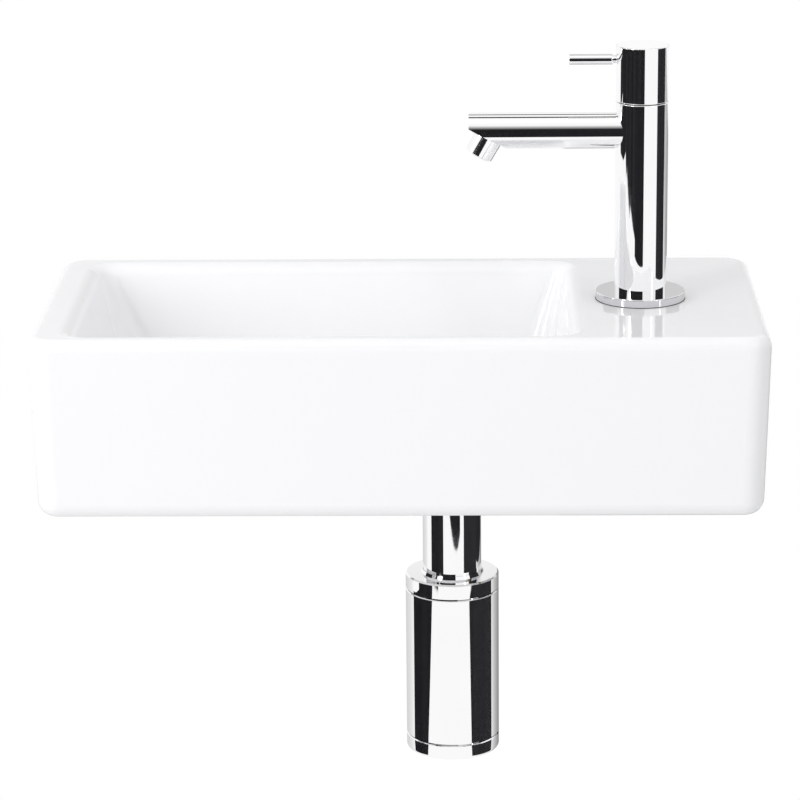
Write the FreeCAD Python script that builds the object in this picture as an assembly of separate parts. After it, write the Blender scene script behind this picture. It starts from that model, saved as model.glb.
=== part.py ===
import FreeCAD, Part
import math
import os
from FreeCAD import Placement, Rotation, Vector

# Wall-hung hand basin with pillar tap, grid waste and bottle trap.
# Millimetres, +X to the right, +Y into the wall, +Z up. The wall plane is Y = 0.
# Heights are measured from the rim plane of the basin. Saving shifts every piece up, so that
# the origin lies on the wall midway between the two fixing holes.

# Basin casting
BASIN_WIDTH = 385.0
BASIN_DEPTH = 185.0
BASIN_HEIGHT = 97.0
SIDE_INSET = 2.4
FRONT_CORNER_R = 12.0
REAR_CORNER_R = 15.0
TOP_EDGE_R = 6.0
BOTTOM_EDGE_R = 8.0
CASTING_WALL = 10.0
DECK_THICKNESS = 12.0
RIM_LEFT = 21.0
RIM_REAR = 17.4
RIM_FRONT = 14.4
DECK_WIDTH = 102.5
LIP_R = 8.5
HOLLOW_CORNER_R = 4.0

# Bowl: its walls lean inwards, and its floor falls towards the drain (degrees)
BOWL_DEPTH = 68.0
LEAN_LEFT = 17.5
LEAN_RIGHT = 10.0
LEAN_REAR = 17.6
LEAN_FRONT = 14.7
FLOOR_FALL = 1.5
FLOOR_VALLEY_R = 300.0
MOUTH_CORNER_R = 7.0
FLOOR_CORNER_R = 24.0
FLOOR_EDGE_R = 14.0

# Holes in the casting
FIXING_SPACING = 220.0
FIXING_DROP = 62.0
FIXING_HOLE_R = 7.0
TAP_HOLE_R = 17.5
TAP_FROM_SIDE = 64.5
TAP_FORWARD = 2.5
DRAIN_FROM_DECK = 63.7
DRAIN_HOLE_R = 23.0
DRAIN_BOSS_R = 35.0
DRAIN_BOSS_DROP = 14.0

# Clearances
FIT = 0.05
THREAD_FIT = 0.1
LOOSE = 0.4
EDGE_BREAK = 0.5

# Largest share of a wall that one fillet may take, and of the rim that the lip may take
FILLET_SHARE = 0.4
LIP_SHARE = 0.6

# Holes of a round grid, from the middle outwards
GRID_COUNTS = (1, 6, 12)

# Tap column and handle
TAP_R = 14.0
TAP_HEIGHT = 137.2
TAP_FLANGE_R = 24.0
TAP_FLANGE_T = 4.5
HANDLE_HEIGHT = 29.7
HANDLE_WALL = 2.0
HANDLE_SEAM = 0.4
BODY_WALL = 4.4
WATERWAY_R = 5.0
FLANGE_SEAL_W = 2.6
FLANGE_SEAL_T = 1.4

# Spout with its slanted nose and aerator
SPOUT_R = 9.5
SPOUT_DROP = 15.6
SPOUT_REACH = 91.7
SPOUT_WALL = 2.5
SPOUT_STEP = 1.5
NOSE_FACE = 9.3
NOSE_ANGLE = 29.0
AERATOR_SET = 11.0
AERATOR_R = 7.7
AERATOR_TAPER = 0.3
AERATOR_LENGTH = 9.0
AERATOR_WALL = 1.4
AERATOR_SPIGOT = 4.5
AERATOR_SEAL_T = 0.8
AERATOR_RECESS = 0.8
AERATOR_HOLE_R = 0.7
NOSE_CHAMBER = 7.0

# Quarter-turn cartridge
SEAT_DROP = 20.5
SEAT_SEAL_T = 2.4
SKIRT_WALL = 0.9
DISC_T = 3.0
DISC_PORT_R = 2.2
DISC_PORT_OFFSET = 4.4
DOG_T = 3.0
DOG_KEY_W = 3.6
DOG_KEY_T = 1.2
CHAMBER_HEAD = 8.5
WINDOW_R = 6.0
CARTRIDGE_COLLAR_T = 3.0
CARTRIDGE_HEX = 17.0
CARTRIDGE_HEX_T = 5.0
CARTRIDGE_NECK_R = 6.2
CARTRIDGE_NECK_T = 3.0
SPINDLE_R = 4.0
SPINDLE_GRIP = 9.0
SPINDLE_FLAT = 0.8
SPINDLE_RING_R = 0.6

# Lever pin and its set screw
LEVER_R = 2.8
LEVER_NECK_R = 2.0
LEVER_NECK_L = 1.5
LEVER_TIP = 38.6
LEVER_BELOW_TOP = 7.6
LEVER_GRIP = 7.0
GRUB_R = 2.0
GRUB_SINK = 1.5
GRUB_SOCKET = 2.0
GRUB_SOCKET_DEPTH = 2.2

# Tap shank and its fastening under the deck
SHANK_R = 10.48
SHANK_GRIP = 12.0
SHANK_DROP = 38.0
SHANK_GROOVE_W = 1.5
SHANK_GROOVE_T = 0.9
DECK_WASHER_R = 23.0
DECK_WASHER_T = 3.0
CLAMP_WASHER_T = 1.5
BACKNUT_FLATS = 30.0
BACKNUT_T = 8.0

# Grid waste
WASTE_THREAD_R = 20.955
WASTE_WALL = 2.5
WASTE_FLANGE_R = 31.5
WASTE_FLANGE_T = 2.5
WASTE_PROUD = 0.5
WASTE_RIM_W = 6.0
WASTE_SEAT_GAP = 1.0
WASTE_TAIL = 35.5
STRAINER_T = 1.5
STRAINER_HOLE_R = 2.6
STRAINER_PITCH = 7.6
TOP_SEAL_T = 1.5
BOTTOM_SEAL_T = 3.0
SLIP_WASHER_T = 1.5
WASTE_NUT_FLATS = 50.0
WASTE_NUT_T = 9.0

# Union between waste and tube
UNION_FLATS = 48.0
UNION_GRIP = 9.5
UNION_SEAL_T = 2.0
UNION_LIP_T = 2.5
TUBE_R = 16.0
TUBE_WALL = 1.0
TUBE_FLARE_T = 2.0

# Bottle trap
TRAP_R = 25.6
TRAP_DROP = 58.1
TRAP_WALL = 2.0
TRAP_SEAM = 0.3
COLLAR_HEIGHT = 8.8
COLLAR_PLATE_T = 2.6
COLLAR_LIP_H = 1.8
COLLAR_LIP_W = 1.1
COLLAR_BEVEL = 0.8
NECK_STEP = 3.0
NECK_PLATE_T = 2.5
SLIP_RING_T = 1.0
GLAND_SEAL_T = 2.2
BOTTLE_LENGTH = 84.1
CAP_HEIGHT = 8.1
CAP_FLOOR_T = 2.5
CAP_WALL = 2.5
CAP_GRIP = 10.0
CAP_EDGE_R = 1.5
CAP_RING_R = 0.7
CAP_RING_RISE = 2.2
DIP_CLEAR = 11.0

# Trap outlet for the wall pipe
PIPE_R = 16.0
PIPE_CLEARANCE = 0.25
SPIGOT_WALL = 2.75
SPIGOT_LENGTH = 42.0
SPIGOT_DROP = 0.7
PIPE_SOCKET = 15.0
PIPE_STOP = 1.5
OUTLET_SEAL_T = 3.0
OUTLET_SLIP_T = 1.5
OUTLET_NUT_WALL = 2.4
OUTLET_NUT_GRIP = 8.0
OUTLET_LIP_T = 2.5

# Places that follow from the sizes above
HALF_WIDTH = BASIN_WIDTH / 2
MOUTH_LEFT = -HALF_WIDTH + RIM_LEFT
MOUTH_RIGHT = HALF_WIDTH - DECK_WIDTH
MOUTH_FRONT = -BASIN_DEPTH + RIM_FRONT
MOUTH_REAR = -RIM_REAR
DRAIN = Vector(MOUTH_RIGHT - DRAIN_FROM_DECK, (MOUTH_FRONT + MOUTH_REAR) / 2, 0)
TAP = Vector(HALF_WIDTH - TAP_FROM_SIDE, DRAIN.y - TAP_FORWARD, 0)

BODY_TOP = TAP_HEIGHT - HANDLE_HEIGHT - HANDLE_SEAM
SPOUT_Z = BODY_TOP - SPOUT_DROP
SEAT_Z = SPOUT_Z - SEAT_DROP
CARTRIDGE_R = TAP_R - BODY_WALL
BORE_R = CARTRIDGE_R + THREAD_FIT
CHAMBER_R = CARTRIDGE_R - SKIRT_WALL
DISC_R = CHAMBER_R - FIT
FIXED_DISC_Z = SEAT_Z + SEAT_SEAL_T
MOVING_DISC_Z = FIXED_DISC_Z + DISC_T
DOG_Z = MOVING_DISC_Z + DISC_T
COLLAR_Z = BODY_TOP + CARTRIDGE_COLLAR_T
HEX_Z = COLLAR_Z + CARTRIDGE_HEX_T
NECK_Z = HEX_Z + CARTRIDGE_NECK_T
SPINDLE_TOP = NECK_Z + LOOSE + SPINDLE_GRIP
SPINDLE_RING_Z = BODY_TOP + CARTRIDGE_COLLAR_T / 2
LEVER_Z = TAP_HEIGHT - LEVER_BELOW_TOP
GRUB_Z = SPINDLE_TOP - SPINDLE_GRIP / 2
SPINDLE_FLAT_Y = SPINDLE_R - SPINDLE_FLAT
BACKNUT_Z = -DECK_THICKNESS - DECK_WASHER_T - CLAMP_WASHER_T - BACKNUT_T

NOSE_SLANT = math.radians(NOSE_ANGLE)
NOSE_TIP = Vector(-SPOUT_REACH, 0, SPOUT_Z + SPOUT_R - NOSE_FACE)
SLANT_RUN = Vector(math.cos(NOSE_SLANT), 0, -math.sin(NOSE_SLANT))
SLANT_OUT = Vector(-math.sin(NOSE_SLANT), 0, -math.cos(NOSE_SLANT))
AERATOR_FRAME = Placement(NOSE_TIP + SLANT_RUN * AERATOR_SET, Rotation(Vector(0, 0, 1), SLANT_OUT))
AERATOR_THREAD_R = AERATOR_R - AERATOR_WALL
AERATOR_BORE_R = AERATOR_THREAD_R - AERATOR_WALL / 2
AERATOR_SHELF = AERATOR_LENGTH / 4

DRAIN_SEAT_Z = -BOWL_DEPTH - TOP_SEAL_T - WASTE_FLANGE_T + WASTE_PROUD
BOSS_Z = -BOWL_DEPTH - DRAIN_BOSS_DROP
FLANGE_UNDER_Z = DRAIN_SEAT_Z + TOP_SEAL_T
STRAINER_R = WASTE_FLANGE_R - WASTE_RIM_W
SLIP_WASHER_Z = BOSS_Z - BOTTOM_SEAL_T
WASTE_NUT_Z = SLIP_WASHER_Z - SLIP_WASHER_T
TAIL_END_Z = DRAIN_SEAT_Z - WASTE_TAIL
FLARE_Z = TAIL_END_Z - UNION_SEAL_T
FLARE_R = WASTE_THREAD_R - LOOSE
UNION_LIP_Z = FLARE_Z - TUBE_FLARE_T

COLLAR_TOP_Z = -BASIN_HEIGHT - TRAP_DROP
COLLAR_UNDER_Z = COLLAR_TOP_Z - COLLAR_HEIGHT
NECK_R = TRAP_R - NECK_STEP
SLIP_RING_Z = COLLAR_TOP_Z - COLLAR_PLATE_T
GLAND_SEAL_Z = SLIP_RING_Z - SLIP_RING_T
NECK_TOP_Z = GLAND_SEAL_Z - GLAND_SEAL_T
SHOULDER_Z = COLLAR_UNDER_Z - TRAP_SEAM
BOTTLE_END_Z = SHOULDER_Z - BOTTLE_LENGTH
BOTTLE_BORE_R = TRAP_R - TRAP_WALL
CAP_TOP_Z = BOTTLE_END_Z - TRAP_SEAM
CAP_UNDER_Z = CAP_TOP_Z - CAP_HEIGHT
CAP_PLUG_R = BOTTLE_BORE_R - THREAD_FIT
TUBE_END_Z = CAP_UNDER_Z + CAP_FLOOR_T + DIP_CLEAR

SPIGOT_BORE_R = PIPE_R + PIPE_CLEARANCE
SPIGOT_R = SPIGOT_BORE_R + SPIGOT_WALL
OUTLET_NUT_R = SPIGOT_R + OUTLET_NUT_WALL
BOTTLE_ROOF_Z = SHOULDER_Z - NECK_PLATE_T
OUTLET_FRAME = Placement(Vector(0, 0, BOTTLE_ROOF_Z - SPIGOT_DROP - SPIGOT_R),
                         Rotation(Vector(0, 0, 1), Vector(0, 1, 0)))
OUTLET_SLIP_Y = SPIGOT_LENGTH + OUTLET_SEAL_T
OUTLET_LIP_Y = OUTLET_SLIP_Y + OUTLET_SLIP_T


def cylinder(radius, low, high):
    return Part.makeCylinder(radius, high - low, Vector(0, 0, low))


def ring(outer, inner, low, high):
    return cylinder(outer, low, high).cut(cylinder(inner, low, high))


def turned(*points):
    """Solid turned about the Z axis from an outline of (radius, height) points."""
    outline = [Vector(radius, 0, height) for radius, height in points]
    face = Part.Face(Part.makePolygon(outline + outline[:1]))
    return face.revolve(Vector(0, 0, 0), Vector(0, 0, 1), 360)


def prism(sides, across_flats, low, high):
    corner = across_flats / 2 / math.cos(math.pi / sides)
    turns = [2 * math.pi * (step + 0.5) / sides for step in range(sides)]
    points = [Vector(corner * math.cos(turn), corner * math.sin(turn), low) for turn in turns]
    face = Part.Face(Part.makePolygon(points + points[:1]))
    return face.extrude(Vector(0, 0, high - low))


def round_rims(shape, size, *rims):
    """Fillet the circular edges that have one of the given (radius, height) pairs."""
    def wanted(edge):
        if not isinstance(edge.Curve, Part.Circle):
            return False
        circle = edge.Curve
        return any(math.isclose(circle.Radius, radius, abs_tol=1e-6)
                   and math.isclose(circle.Center.z, height, abs_tol=1e-6) for radius, height in rims)
    return shape.makeFillet(size, [edge for edge in shape.Edges if wanted(edge)])


def grid_drills(pitch, hole_r, low, high):
    """Upright drills in rings that lie one pitch apart."""
    drills = []
    for ring_number, count in enumerate(GRID_COUNTS):
        for step in range(count):
            turn = 2 * math.pi * step / count
            drill = cylinder(hole_r, low, high)
            drill.translate(Vector(math.cos(turn), math.sin(turn), 0) * (ring_number * pitch))
            drills.append(drill)
    return Part.makeCompound(drills)


def flat_block(top, bottom):
    """Six-sided solid between two level rectangles, each (left, right, front, rear, height)."""
    def corners(left, right, front, rear, height):
        plan = ((left, front), (right, front), (right, rear), (left, rear))
        return [Vector(x, y, height) for x, y in plan]
    upper = corners(*top)
    lower = corners(*bottom)
    loops = [upper, lower]
    for side in range(4):
        after = (side + 1) % 4
        loops.append([upper[side], upper[after], lower[after], lower[side]])
    shell = Part.makeShell([Part.Face(Part.makePolygon(loop + loop[:1])) for loop in loops])
    return outward(Part.makeSolid(shell))


def outward(solid):
    if solid.Volume < 0:
        solid.reverse()
    return solid


def upright_edges(shape):
    return [edge for edge in shape.Edges if edge.BoundBox.ZLength > edge.Length / 2]


def level_face(shape, height):
    def is_level(face):
        return abs(face.BoundBox.ZMin - height) + abs(face.BoundBox.ZMax - height) < 1e-4
    return next(face for face in shape.Faces if is_level(face))


def drafted_box(inset, top_z, front_r, rear_r):
    """The basin's outer form, drawn in by an inset, from a height down to the underside."""
    def rectangle(height):
        drawn_in = inset - SIDE_INSET * height / BASIN_HEIGHT
        return (-HALF_WIDTH + drawn_in, HALF_WIDTH - drawn_in, -BASIN_DEPTH + drawn_in, -inset, height)
    def in_front(edge):
        return edge.CenterOfMass.y < -BASIN_DEPTH / 2
    box = flat_block(rectangle(top_z), rectangle(-BASIN_HEIGHT))
    box = box.makeFillet(front_r, [edge for edge in upright_edges(box) if in_front(edge)])
    return box.makeFillet(rear_r, [edge for edge in upright_edges(box) if not in_front(edge)])


def rounded_rectangle(left, right, front, rear, height, radius):
    """Edges of a level rectangle: quarter arcs and straight sides by turns."""
    inset = radius * (1 - math.sqrt(0.5))
    arcs = []
    corners = ((left, front, 1, 1), (right, front, -1, 1), (right, rear, -1, -1), (left, rear, 1, -1))
    for number, (x, y, to_x, to_y) in enumerate(corners):
        ends = [Vector(x, y + to_y * radius, height), Vector(x + to_x * radius, y, height)]
        if number % 2:
            ends.reverse()
        middle = Vector(x + to_x * inset, y + to_y * inset, height)
        arcs.append((ends[0], middle, ends[1]))
    edges = []
    for number, (start, middle, end) in enumerate(arcs):
        following = arcs[(number + 1) % 4][0]
        edges.append(Part.Arc(start, middle, end).toShape())
        edges.append(Part.makeLine(end, following))
    return edges


def floor_block(depth):
    """Solid under the bowl floor: two falls that meet in a rounded valley at the drain."""
    fall = math.radians(FLOOR_FALL)
    run = BASIN_WIDTH
    tangent = FLOOR_VALLEY_R * math.tan(fall)

    def point(offset, rise):
        return Vector(DRAIN.x + offset, 0, rise - depth)

    left = point(-run, run * math.tan(fall))
    right = point(run, run * math.tan(fall))
    valley = [point(-tangent, tangent * math.tan(fall)),
              point(0, FLOOR_VALLEY_R * (1 / math.cos(fall) - 1)),
              point(tangent, tangent * math.tan(fall))]
    low_right = point(run, -BASIN_HEIGHT)
    low_left = point(-run, -BASIN_HEIGHT)
    outline = Part.Wire([Part.makeLine(left, valley[0]), Part.Arc(*valley).toShape(),
                         Part.makeLine(valley[2], right), Part.makeLine(right, low_right),
                         Part.makeLine(low_right, low_left), Part.makeLine(low_left, left)])
    return Part.Face(outline).extrude(Vector(0, -BASIN_DEPTH, 0))


def wall_offset(lean, depth, skin):
    """How far a leaning bowl wall, grown by a skin, stands outside its line at the rim."""
    return skin / math.cos(math.radians(lean)) - depth * math.tan(math.radians(lean))


def bowl_rectangle(depth, skin):
    return (MOUTH_LEFT - wall_offset(LEAN_LEFT, depth, skin),
            MOUTH_RIGHT + wall_offset(LEAN_RIGHT, depth, skin),
            MOUTH_FRONT - wall_offset(LEAN_FRONT, depth, skin),
            MOUTH_REAR + wall_offset(LEAN_REAR, depth, skin),
            -depth)


def round_floor(form, radius):
    """Fillet the border between the walls of a bowl form and its floor."""
    edges = [edge for face in form.Faces if face.BoundBox.ZMax < -BOWL_DEPTH / 2 for edge in face.Edges]
    border = [edge for edge in edges if sum(edge.isSame(other) for other in edges) == 1]
    return form.makeFillet(radius, border)


def bowl_space():
    """Inside of the bowl: flat leaning walls, with corners that widen downwards."""
    def section(depth):
        widening = (FLOOR_CORNER_R - MOUTH_CORNER_R) * depth / BOWL_DEPTH
        return rounded_rectangle(*bowl_rectangle(depth, 0), MOUTH_CORNER_R + widening)
    upper = section(-LOOSE)
    lower = section(BOWL_DEPTH + LIP_R)
    faces = [Part.Face(Part.Wire(upper)), Part.Face(Part.Wire(lower))]
    faces += [Part.makeRuledSurface(above, below) for above, below in zip(upper[0::2], lower[0::2])]
    for above, below in zip(upper[1::2], lower[1::2]):
        loop = [above.valueAt(0), above.valueAt(above.Length), below.valueAt(below.Length), below.valueAt(0)]
        faces.append(Part.Face(Part.makePolygon(loop + loop[:1])))
    shell = Part.makeShell(faces)
    shell.sewShape()
    return round_floor(outward(Part.makeSolid(shell)).cut(floor_block(BOWL_DEPTH)), FLOOR_EDGE_R)


def bowl_skin():
    """Outside of the bowl, one casting wall larger all round."""
    low = BOWL_DEPTH + CASTING_WALL + LIP_R
    form = flat_block(bowl_rectangle(-LOOSE, CASTING_WALL), bowl_rectangle(low, CASTING_WALL))
    form = form.makeFillet(MOUTH_CORNER_R + CASTING_WALL, upright_edges(form))
    return round_floor(form.cut(floor_block(BOWL_DEPTH + CASTING_WALL)), MOUTH_CORNER_R)


def at_tap(shape):
    shape.translate(TAP)
    return shape


def at_drain(shape):
    shape.translate(DRAIN)
    return shape


def at_aerator(shape):
    shape.Placement = AERATOR_FRAME.multiply(shape.Placement)
    return at_tap(shape)


def at_outlet(shape):
    shape.Placement = OUTLET_FRAME.multiply(shape.Placement)
    return at_drain(shape)


def basin():
    """Slip-cast shell: outer form, bowl with its own skin, open underside and holes."""
    top_edge = min(TOP_EDGE_R, RIM_FRONT * FILLET_SHARE)
    bottom_edge = min(BOTTOM_EDGE_R, CASTING_WALL * FILLET_SHARE * 2)
    lip = min(LIP_R, RIM_FRONT * LIP_SHARE)
    shape = drafted_box(0, 0, FRONT_CORNER_R, REAR_CORNER_R)
    shape = shape.makeFillet(top_edge, level_face(shape, 0).Edges)
    shape = shape.makeFillet(bottom_edge, level_face(shape, -BASIN_HEIGHT).Edges)
    inner_r = max(FRONT_CORNER_R - CASTING_WALL, HOLLOW_CORNER_R)
    hollow = drafted_box(CASTING_WALL, -DECK_THICKNESS, inner_r, inner_r)
    boss = at_drain(cylinder(DRAIN_BOSS_R, BOSS_Z, DRAIN_SEAT_Z))
    shape = shape.cut(hollow.cut(bowl_skin().fuse(boss)))
    shape = shape.cut(bowl_space())
    rim = level_face(shape, 0)
    mouth = next(wire for wire in rim.Wires if not wire.isSame(rim.OuterWire))
    shape = shape.makeFillet(lip, mouth.Edges)
    seat = cylinder(WASTE_FLANGE_R + WASTE_SEAT_GAP, DRAIN_SEAT_Z, DRAIN_SEAT_Z + BOWL_DEPTH / 2)
    shape = shape.cut(at_drain(seat))
    shape = shape.cut(at_drain(cylinder(DRAIN_HOLE_R, BOSS_Z, DRAIN_SEAT_Z)))
    shape = shape.cut(at_tap(cylinder(TAP_HOLE_R, -DECK_THICKNESS, 0)))
    for side in (-1, 1):
        mouth_of_hole = Vector(side * FIXING_SPACING / 2, 0, -FIXING_DROP)
        shape = shape.cut(Part.makeCylinder(FIXING_HOLE_R, CASTING_WALL, mouth_of_hole, Vector(0, -1, 0)))
    return shape


def flange_groove(gap, depth):
    middle = (TAP_HOLE_R + TAP_FLANGE_R) / 2
    return ring(middle + FLANGE_SEAL_W / 2 + gap, middle - FLANGE_SEAL_W / 2 - gap, 0, depth)


def tap_flange():
    plate = ring(TAP_FLANGE_R, SHANK_R + THREAD_FIT, 0, TAP_FLANGE_T)
    plate = round_rims(plate, EDGE_BREAK, (TAP_FLANGE_R, TAP_FLANGE_T))
    return at_tap(plate.cut(flange_groove(FIT, FLANGE_SEAL_T)))


def flange_seal():
    return at_tap(flange_groove(0, FLANGE_SEAL_T))


def tap_body():
    """Column with the shank socket below, a waterway and the cartridge bore above."""
    socket_top = TAP_FLANGE_T + SHANK_GRIP
    column = cylinder(TAP_R, TAP_FLANGE_T, BODY_TOP)
    column = round_rims(column, EDGE_BREAK, (TAP_R, BODY_TOP))
    column = column.cut(cylinder(SHANK_R + THREAD_FIT, TAP_FLANGE_T, socket_top))
    column = column.cut(cylinder(WATERWAY_R, socket_top, SEAT_Z))
    column = column.cut(cylinder(BORE_R, SEAT_Z, BODY_TOP))
    tenon_r = SPOUT_R - SPOUT_STEP
    spout_hole = Part.makeCylinder(tenon_r + FIT, TAP_R, Vector(0, 0, SPOUT_Z), Vector(-1, 0, 0))
    return at_tap(column.cut(spout_hole))


def spout():
    """Tube with a saddle and tenon at the column and a slanted nose for the aerator."""
    away = Vector(-1, 0, 0)
    root_x = -BORE_R - LOOSE
    tube = Part.makeCylinder(SPOUT_R, SPOUT_REACH, Vector(0, 0, SPOUT_Z), away)
    tube = tube.cut(cylinder(TAP_R + FIT, 0, TAP_HEIGHT))
    tenon_length = SPOUT_REACH / 2 + root_x
    tube = tube.fuse(Part.makeCylinder(SPOUT_R - SPOUT_STEP, tenon_length, Vector(root_x, 0, SPOUT_Z), away))
    span = SLANT_RUN * SPOUT_REACH
    below = Vector(0, 0, -SPOUT_REACH)
    corners = [NOSE_TIP - span, NOSE_TIP + span, NOSE_TIP + span + below, NOSE_TIP - span + below]
    nose_cut = Part.Face(Part.makePolygon(corners + corners[:1])).extrude(Vector(0, 2 * SPOUT_R, 0))
    nose_cut.translate(Vector(0, -SPOUT_R, 0))
    tube = tube.cut(nose_cut)
    chamber = cylinder(AERATOR_THREAD_R + THREAD_FIT, -NOSE_CHAMBER, 0)
    chamber.Placement = AERATOR_FRAME
    bore_end = AERATOR_FRAME.Base.x + SLANT_RUN.x * AERATOR_THREAD_R
    bore_length = root_x - bore_end
    bore = Part.makeCylinder(SPOUT_R - SPOUT_WALL, bore_length, Vector(root_x, 0, SPOUT_Z), away)
    return at_tap(tube.cut(bore).cut(chamber))


def aerator_housing():
    """Ring with a threaded spigot above and a pocket for the grid below."""
    mouth_r = AERATOR_R - AERATOR_TAPER
    body = turned((AERATOR_BORE_R, -AERATOR_SPIGOT), (AERATOR_THREAD_R, -AERATOR_SPIGOT),
                  (AERATOR_THREAD_R, 0), (AERATOR_R, 0),
                  (mouth_r, AERATOR_LENGTH - EDGE_BREAK), (mouth_r - EDGE_BREAK, AERATOR_LENGTH),
                  (AERATOR_THREAD_R, AERATOR_LENGTH), (AERATOR_THREAD_R, AERATOR_SHELF),
                  (AERATOR_BORE_R, AERATOR_SHELF))
    return at_aerator(body)


def aerator_seal():
    return at_aerator(ring(AERATOR_THREAD_R - FIT, AERATOR_BORE_R - AERATOR_WALL,
                           AERATOR_SHELF, AERATOR_SHELF + AERATOR_SEAL_T))


def aerator_insert():
    low = AERATOR_SHELF + AERATOR_SEAL_T
    high = AERATOR_LENGTH - AERATOR_RECESS
    insert_r = AERATOR_THREAD_R - FIT
    pitch = insert_r / len(GRID_COUNTS)
    return at_aerator(cylinder(insert_r, low, high).cut(grid_drills(pitch, AERATOR_HOLE_R, low, high)))


def cartridge_body():
    """Headwork: thin skirt round the discs, side windows, collar, hexagon and spindle neck."""
    stem_r = SPINDLE_R + FIT
    chamber_top = SPOUT_Z + CHAMBER_HEAD
    collar_r = TAP_R - HANDLE_WALL - LOOSE
    body = turned((CHAMBER_R, SEAT_Z + LOOSE), (CARTRIDGE_R, SEAT_Z + LOOSE), (CARTRIDGE_R, BODY_TOP),
                  (collar_r, BODY_TOP), (collar_r, COLLAR_Z), (CARTRIDGE_NECK_R, COLLAR_Z),
                  (CARTRIDGE_NECK_R, NECK_Z), (stem_r, NECK_Z), (stem_r, chamber_top),
                  (CHAMBER_R, chamber_top))
    body = body.fuse(prism(6, CARTRIDGE_HEX, COLLAR_Z, HEX_Z).cut(cylinder(stem_r, COLLAR_Z, HEX_Z)))
    window = Part.makeCylinder(WINDOW_R, 2 * TAP_R, Vector(-TAP_R, 0, SPOUT_Z), Vector(1, 0, 0))
    stem = cylinder(stem_r, SEAT_Z, NECK_Z)
    return at_tap(body.cut(window.cut(stem)))


def cartridge_seal():
    return at_tap(ring(DISC_R, WATERWAY_R, SEAT_Z, FIXED_DISC_Z))


def ceramic_disc(low, axis):
    """Disc with two water ports that lie along the given axis."""
    disc = cylinder(DISC_R, low, low + DISC_T)
    for side in (-1, 1):
        port = cylinder(DISC_PORT_R, low, low + DISC_T)
        port.translate(axis * (side * DISC_PORT_OFFSET))
        disc = disc.cut(port)
    return disc


def dog_key(gap):
    """Bar across the top of the moving disc, grown by a gap on its sides."""
    width = DOG_KEY_W + 2 * gap
    length = 2 * DISC_R - DOG_KEY_W + 2 * gap
    corner = Vector(-length / 2, -width / 2, DOG_Z - DOG_KEY_T)
    return Part.makeBox(length, width, DOG_KEY_T, corner)


def fixed_disc():
    return at_tap(ceramic_disc(FIXED_DISC_Z, Vector(1, 0, 0)))


def moving_disc():
    return at_tap(ceramic_disc(MOVING_DISC_Z, Vector(0, 1, 0)).cut(dog_key(FIT)))


def spindle():
    """Drive dog with its key, a plain shaft with a ring groove and a flat for the set screw."""
    dog_r = DISC_R - LOOSE
    groove_r = SPINDLE_R - 2 * SPINDLE_RING_R
    low = SPINDLE_RING_Z - SPINDLE_RING_R - FIT
    high = SPINDLE_RING_Z + SPINDLE_RING_R + FIT
    shaft = turned((0, DOG_Z), (dog_r, DOG_Z), (dog_r, DOG_Z + DOG_T), (SPINDLE_R, DOG_Z + DOG_T),
                   (SPINDLE_R, low), (groove_r, low), (groove_r, high), (SPINDLE_R, high),
                   (SPINDLE_R, SPINDLE_TOP), (0, SPINDLE_TOP))
    flat_corner = Vector(-SPINDLE_R, SPINDLE_FLAT_Y, SPINDLE_TOP - SPINDLE_GRIP)
    flat = Part.makeBox(2 * SPINDLE_R, SPINDLE_R, SPINDLE_GRIP, flat_corner)
    return at_tap(shaft.fuse(dog_key(0)).cut(flat))


def spindle_seal():
    centre = Vector(0, 0, SPINDLE_RING_Z)
    return at_tap(Part.makeTorus(SPINDLE_R - SPINDLE_RING_R, SPINDLE_RING_R - FIT, centre))


def handle_cap():
    """Turning cap with a pocket over the headwork and a socket for the spindle."""
    low = BODY_TOP + HANDLE_SEAM
    cap = cylinder(TAP_R, low, TAP_HEIGHT)
    cap = round_rims(cap, EDGE_BREAK, (TAP_R, low), (TAP_R, TAP_HEIGHT))
    cap = cap.cut(cylinder(TAP_R - HANDLE_WALL, low, NECK_Z + LOOSE))
    cap = cap.cut(cylinder(SPINDLE_R + FIT, NECK_Z + LOOSE, SPINDLE_TOP + FIT))
    lever_root = Vector(-LEVER_GRIP, 0, LEVER_Z)
    lever_hole = Part.makeCylinder(LEVER_NECK_R + FIT, TAP_R, lever_root, Vector(-1, 0, 0))
    grub_hole = Part.makeCylinder(GRUB_R + FIT, TAP_R, Vector(0, 0, GRUB_Z), Vector(0, 1, 0))
    return at_tap(cap.cut(lever_hole).cut(grub_hole))


def lever_pin():
    """Slim pin with a rounded shoulder where its neck enters the handle."""
    shoulder = TAP_R + LEVER_NECK_L
    pin = cylinder(LEVER_R, shoulder, LEVER_TIP)
    pin = round_rims(pin, LEVER_R - LEVER_NECK_R, (LEVER_R, shoulder))
    pin = round_rims(pin, EDGE_BREAK / 2, (LEVER_R, LEVER_TIP))
    pin = pin.fuse(cylinder(LEVER_NECK_R, LEVER_GRIP, shoulder))
    pin.Placement = Placement(Vector(0, 0, LEVER_Z), Rotation(Vector(0, 0, 1), Vector(-1, 0, 0)))
    return at_tap(pin)


def grub_screw():
    tip = SPINDLE_FLAT_Y
    head = TAP_R - GRUB_SINK
    screw = cylinder(GRUB_R, tip, head).cut(prism(6, GRUB_SOCKET, head - GRUB_SOCKET_DEPTH, head))
    screw.Placement = Placement(Vector(0, 0, GRUB_Z), Rotation(Vector(0, 0, 1), Vector(0, 1, 0)))
    return at_tap(screw)


def tap_shank():
    """Threaded tail; a groove below the nut parts its clamped stretch from the inlet stretch."""
    shank = ring(SHANK_R, WATERWAY_R, -DECK_THICKNESS - SHANK_DROP, TAP_FLANGE_T + SHANK_GRIP)
    groove = ring(SHANK_R + LOOSE, SHANK_R - SHANK_GROOVE_T, BACKNUT_Z - SHANK_GROOVE_W, BACKNUT_Z)
    return at_tap(shank.cut(groove))


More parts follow.
